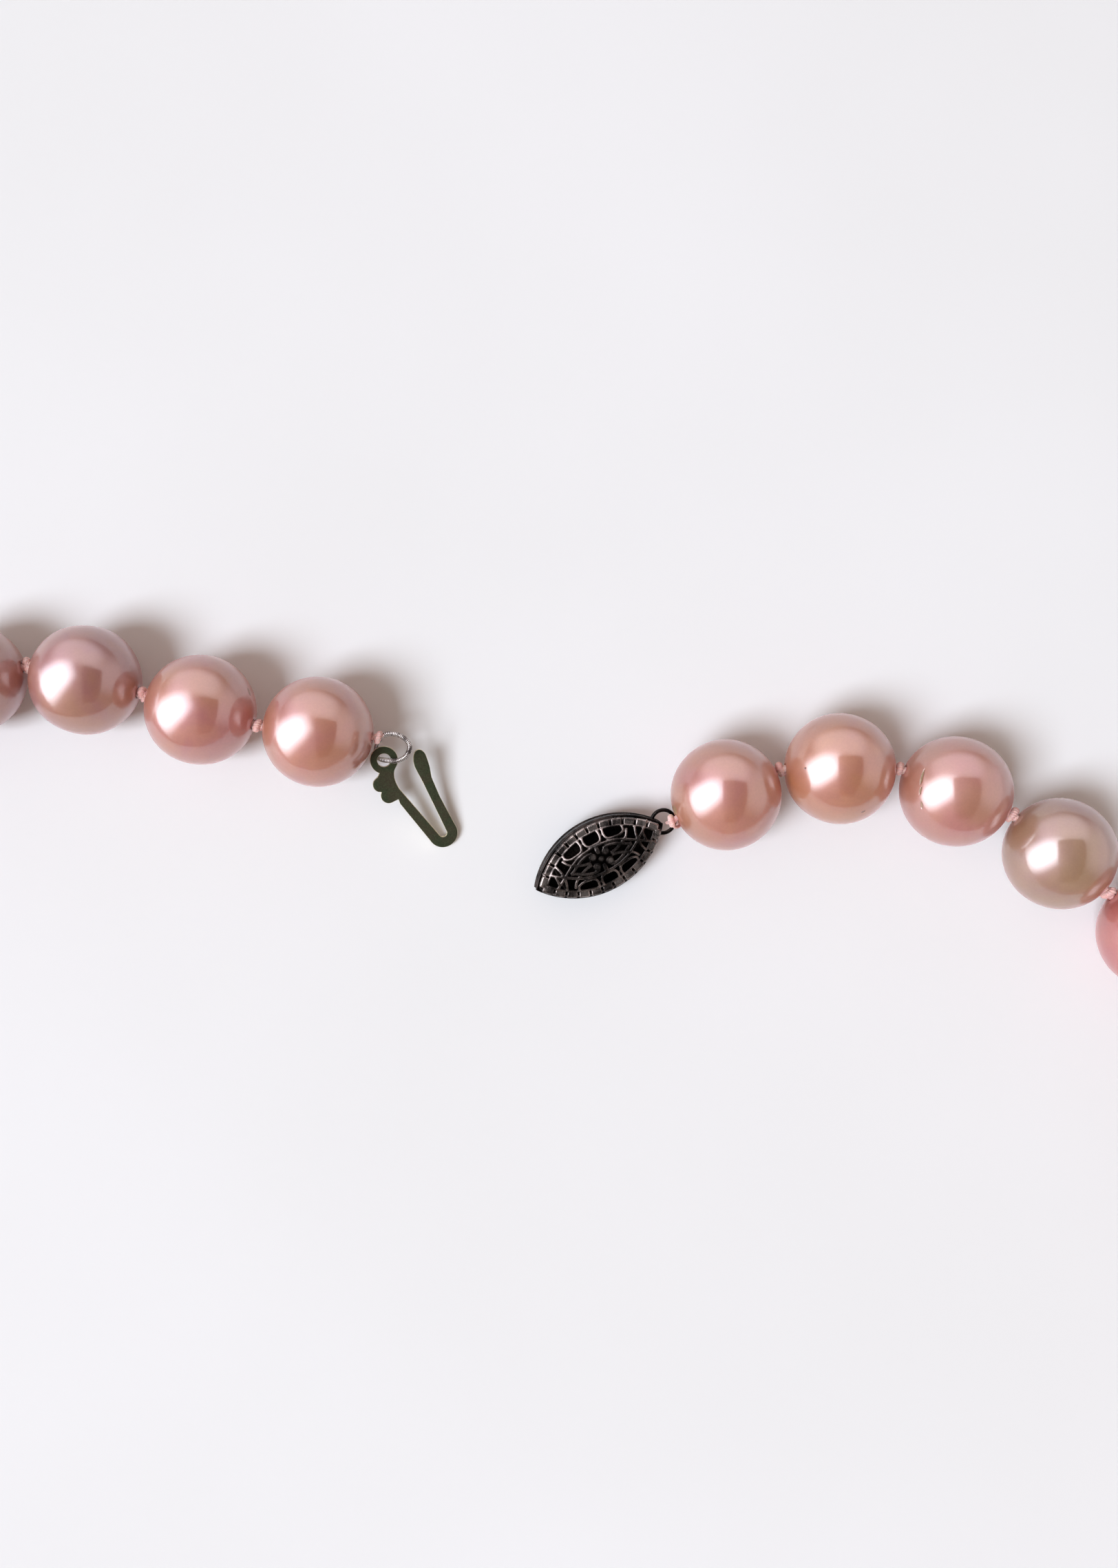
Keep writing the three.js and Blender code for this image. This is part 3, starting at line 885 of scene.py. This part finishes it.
def on_dome(flat, sink):
    """Places in the plane, lifted onto the dome and sunk into it a little."""
    flat = np.asarray(flat, float)
    return np.column_stack([flat, dome_height(flat[:, 0], flat[:, 1]) - sink])


def oval(tall, wide, power=2.0):
    """A section wide across the path and tall along z, squarer for a higher power."""
    return lambda share, angles: (np.abs(np.cos(angles) / tall) ** power
                                  + np.abs(np.sin(angles) / wide) ** power) ** (-1 / power)


def rim_blocks():
    """The ribbed inner rim: rounded blocks side by side along both arcs."""
    blocks = []
    path = marquise(0.47, 1200)
    run = np.concatenate([[0], np.cumsum(np.linalg.norm(np.diff(path, axis=0), axis=1))])
    half = run[-1] / 2
    reach = half / RIM_BLOCKS / 2 - RIM_BLOCK_GAP / 2
    for side in (0, 1):
        for k in range(RIM_BLOCKS):
            middle_run = half * side + half * (k + 0.5) / RIM_BLOCKS
            stops = np.linspace(middle_run - reach, middle_run + reach, 7)
            flat = np.stack([np.interp(stops, run, path[:, i]) for i in (0, 1)], axis=1)
            blocks.append(tube(on_dome(flat, -0.02), 1.0, 14, section=oval(0.2, 0.29, 4)))
    return blocks


def filigree_parts():
    """The wires, rims and beads of one dome, still separate."""
    rim = np.column_stack([marquise(0.15, 240), np.full(240, RIM_HEIGHT - 0.04)])
    collar = on_dome(marquise(0.49, 240), 0.2)
    border = on_dome(marquise(0.8, 240), 0.03)
    parts = [tube(rim, 0.15, 12, True), tube(collar, 1.0, 12, True, section=oval(0.12, 0.3)),
             tube(border, 0.085, 12, True), *rim_blocks()]
    for wire in FILIGREE_WIRES:
        for sign_x in (1, -1):
            for sign_y in (1, -1):
                flat = smooth_path([(x * sign_x, y * sign_y) for x, y in wire], 40)
                parts.append(tube(on_dome(flat, 0.06), 0.125, 12))
    for x, y, radius in FLOWER:
        for place in {(x * i, y * j) for i in (1, -1) for j in (1, -1)}:
            height = float(dome_height(*place)) - radius * 0.55
            parts.append(bead((*place, height), radius, flat=0.9))
    return parts


def clasp_matrix():
    turn = Matrix.Rotation(CLASP_HEADING, 4, "Z") @ Matrix.Rotation(CLASP_ROLL, 4, "X")
    return Matrix.Translation(middle("clasp_band")) @ turn


def place_on_clasp(piece, node_name):
    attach(piece, "clasp")
    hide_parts(node_name)


def add_filigree(name, node_name, side, material):
    points, faces = together(filigree_parts())
    piece = add_piece(name, mesh_of(name, points * MM, faces), material)
    applied(piece, ("REMESH", {"mode": "VOXEL", "voxel_size": DOME_VOXEL}),
            ("SMOOTH", {"factor": 0.5, "iterations": 2}))
    points = np.zeros(len(piece.data.vertices) * 3)
    piece.data.vertices.foreach_get("co", points)
    points = points.reshape(-1, 3) / MM
    proud = (points[:, 2] - dome_height(points[:, 0], points[:, 1]) - 0.01) / 0.09
    points[:, 2] = np.minimum(points[:, 2], CLASP_HALF_HEIGHT - 0.005)
    store(piece.data, "proud", np.clip(proud, 0, 1))
    if side < 0:
        points[:, 1:] *= -1
    piece.data.vertices.foreach_set("co", (points * MM).ravel())
    piece.data.update()
    piece.matrix_world = clasp_matrix()
    place_on_clasp(piece, node_name)


def add_band(material):
    """The wall between the two domes, open at the pointed tip where the hook goes in."""
    ring = marquise(0.1, 360)
    points = [(x * MM, y * MM, z * MM) for z in BAND_ROWS for x, y in ring]
    count = len(ring)
    faces = []
    for row in range(len(BAND_ROWS) - 1):
        height = (BAND_ROWS[row] + BAND_ROWS[row + 1]) / 2
        for j in range(count):
            k = (j + 1) % count
            in_slot = ring[j][0] < SLOT_FROM and abs(height) < SLOT_HALF_HEIGHT
            if not in_slot:
                a, b = row * count, (row + 1) * count
                faces.append((a + j, a + k, b + k, b + j))
    band = add_piece("clasp_wall", mesh_of("clasp_wall", points, faces), material)
    applied(band, ("SOLIDIFY", {"thickness": 0.22 * MM, "offset": -1}), SOFT_BEVEL)
    band.matrix_world = clasp_matrix()
    place_on_clasp(band, "clasp_band")


def add_shade_plate(material):
    """A dark closed sheet under the hook's channel, put in as a guide plate that stands for the shade seen
    through the clasp's open cells; it keeps light from shining through.
    """
    ring = marquise(0.42, 240)
    points = [(x * MM, y * MM, -0.56 * MM) for x, y in ring]
    mesh = mesh_of("clasp_shade_plate", points, [tuple(range(len(ring)))])
    guide = add_piece("clasp_shade_plate", mesh, material)
    applied(guide, ("SOLIDIFY", {"thickness": 0.14 * MM, "offset": 1}), SOFT_BEVEL)
    guide.matrix_world = clasp_matrix()
    place_on_clasp(guide, "clasp_guide_plate")


def add_clasp_bar(material):
    """The bar across the inside that the hook catches on, a little stouter at its ends."""
    def radius(share):
        return (0.2 + 0.05 * abs(2 * share - 1) ** 4) * MM

    reach = np.linspace(-BAR_HALF_LENGTH, BAR_HALF_LENGTH, 25)
    path = [(BAR_X * MM, y * MM, 0) for y in reach]
    mesh = mesh_of("clasp_catch_bar", *tube(path, radius, 16), 40)
    bar = add_piece("clasp_catch_bar", mesh, material, clasp_matrix())
    place_on_clasp(bar, "clasp_cross_bar")


def add_clasp_ring(material):
    """The ring at the blunt end, open where its two feet join the clasp."""
    tilt = Matrix.Rotation(math.radians(5), 3, "X")
    path = [tilt @ Vector((x, y, 0)) + Vector((RING_X, 0, 0))
            for x, y in arc((0, 0), RING_RADIUS, -145, 145, 72)]
    parts = [tube(np.array([tuple(p) for p in path]) * MM, RING_WIRE * MM, 14)]
    parts += [bead(np.array(path[i]) * MM, RING_FOOT * MM, 14, 8) for i in (0, -1)]
    ring = add_piece("clasp_end_ring", mesh_of("clasp_end_ring", *together(parts)), material)
    applied(ring, ("REMESH", {"mode": "VOXEL", "voxel_size": RING_VOXEL}),
            ("SMOOTH", {"factor": 0.5, "iterations": 4}))
    ring.matrix_world = clasp_matrix()
    place_on_clasp(ring, "clasp_ring")


def add_clasp(material):
    add_filigree("clasp_front_dome", "clasp_front_filigree", 1, material)
    add_filigree("clasp_back_dome", "clasp_back_filigree", -1, material)
    add_band(material)
    add_shade_plate(material)
    add_clasp_bar(material)
    add_clasp_ring(material)


# ---------- camera, light and table ----------

VIEW_DISTANCE = 0.115
VIEW_TILT = math.radians(6)
VIEW_ANGLE = math.radians(57.62)
END_PEARLS_TO_FRAME = Vector((3.03, -1.7, 0)) * MM
SENSOR = 36.0
CLIP = (0.01, 10)
TABLE_REACH = 1.5


def facing(direction, turn=0.0):
    """A rotation whose z axis points along direction and whose y axis is as near the world's as can be."""
    z = Vector(direction).normalized()
    y = (Y - z * Y.dot(z)).normalized()
    return Matrix((y.cross(z), y, z)).transposed() @ Matrix.Rotation(math.radians(turn), 3, "Z")


def place_towards(thing, target, direction, distance, turn=0.0):
    """Sets a thing that looks down its own z axis at a target, from that direction."""
    place = target + Vector(direction).normalized() * distance
    thing.matrix_world = Matrix.Translation(place) @ facing(direction, turn).to_4x4()


def add_camera():
    target = (PEARL_CENTRES[0] + PEARL_CENTRES[-1]) / 2 + END_PEARLS_TO_FRAME
    camera = bpy.data.objects.new("camera", bpy.data.cameras.new("camera"))
    bpy.context.scene.collection.objects.link(camera)
    back = Vector((0, -math.sin(VIEW_TILT), math.cos(VIEW_TILT)))
    place_towards(camera, target, back, VIEW_DISTANCE)
    camera.data.sensor_width = SENSOR
    camera.data.lens = SENSOR / 2 / math.tan(VIEW_ANGLE / 2)
    camera.data.clip_start, camera.data.clip_end = CLIP
    bpy.context.scene.camera = camera
    return target


def soften_edges(light, share):
    """Fades a rectangular light to nothing over the outer share of its half width and half height."""
    light.use_nodes = True
    tree = light.node_tree
    across = node(tree, "NewGeometry").outputs["Parametric"]
    parts = node(tree, "SeparateXYZ", {0: across})
    fades = []
    for axis in ("X", "Y"):
        from_middle = maths(tree, "ABSOLUTE", maths(tree, "SUBTRACT", parts.outputs[axis], 0.5))
        fades.append(ranged(tree, from_middle, 0.5 - share / 2, 0.5, 1.0, 0.0))
    emission = tree.nodes["Emission"]
    tree.links.new(maths(tree, "MULTIPLY", *fades), emission.inputs["Strength"])


# Each light's direction and distance from the target, size, strength, tint, turn about its own
# axis, faded share of its edges, and what does not see it
LIGHTS = {
    "window": ((-0.47, -0.34, 0.81), 2.5, (1.2, 0.95), 54, (0.91, 1.0, 1.08), 0, 0, "visible_glossy"),
    "window_glare": ((-0.766, -0.1, 0.643), 0.9, (2.5, 1.3), 84, (0.95, 0.98, 1.08), 24, 0.85,
                     "visible_diffuse"),
    "wall_glow": ((0.93, 0.1, 0.36), 0.9, (1.9, 2.0), 11, (1.0, 0.92, 0.98), 0, 0.8, "visible_diffuse"),
    "ceiling_glow": ((-0.1, 0.8, 0.6), 0.9, (2.6, 1.5), 19, (1.0, 0.92, 1.0), 0, 0.7, "visible_diffuse"),
}


def add_area_light(name, target, direction, distance, size, strength, tint, turn, soft_edge, unseen):
    light = bpy.data.lights.new(name, "AREA")
    light.shape = "RECTANGLE"
    light.size, light.size_y = size
    light.energy = strength
    light.color = tint
    holder = bpy.data.objects.new(name, light)
    bpy.context.scene.collection.objects.link(holder)
    place_towards(holder, target, direction, distance, turn)
    if soft_edge:
        soften_edges(light, soft_edge)
    setattr(holder, unseen, False)


def add_world():
    """An even, slightly warm room light, dimmer on the right."""
    world = bpy.data.worlds.new("studio")
    bpy.context.scene.world = world
    world.use_nodes = True
    tree = world.node_tree
    tree.nodes.clear()
    direction = node(tree, "TexCoord").outputs["Generated"]
    across = node(tree, "SeparateXYZ", {0: direction}).outputs["X"]
    tone = mixed(tree, ranged(tree, across, -0.8, 0.9), (0.43, 0.36, 0.31, 1), (0.34, 0.28, 0.24, 1))
    background = node(tree, "Background", {"Color": tone, "Strength": 1.0})
    output = node(tree, "OutputWorld")
    tree.links.new(background.outputs[0], output.inputs[0])


# What stands behind the camera, from the target: its left, lower, right and upper edge and its height
DARK_CARD = (-0.012, -0.24, 0.116, 0.05, 0.122)


def add_card(name, target, reach):
    """A matt black card, level with the table, that only reflections see."""
    left, bottom, right, top, height = reach
    corners = [(left, bottom, height), (right, bottom, height), (right, top, height), (left, top, height)]
    material, _, shader = new_tree(name)
    shader.inputs["Base Color"].default_value = (0.01, 0.01, 0.01, 1)
    shader.inputs["Specular IOR Level"].default_value = 0.0
    card = add_piece(name, mesh_of(name, corners, [(0, 1, 2, 3)]), material, Matrix.Translation(target))
    card.visible_camera = False
    card.visible_diffuse = False
    card.visible_shadow = False


def add_stage(target):
    r = TABLE_REACH
    floor_points = [(-r, -r, 0), (r, -r, 0), (r, r, 0), (-r, r, 0)]
    floor = add_piece("table_top", mesh_of("table_top", floor_points, [(0, 1, 2, 3)]), floor_material())
    for name, settings in LIGHTS.items():
        add_area_light(name, target, *settings)
    add_card("dark_card", target, DARK_CARD)


def main():
    scene = bpy.context.scene
    scene.view_settings.view_transform = "Standard"
    target = add_camera()
    add_world()
    add_pearls()
    silk = silk_material()
    add_knots(silk)
    add_end_knots(silk)
    add_end_loops(silk)
    add_gimp(gimp_material())
    add_hook(hook_material())
    add_clasp(clasp_material())
    add_stage(target)


main()
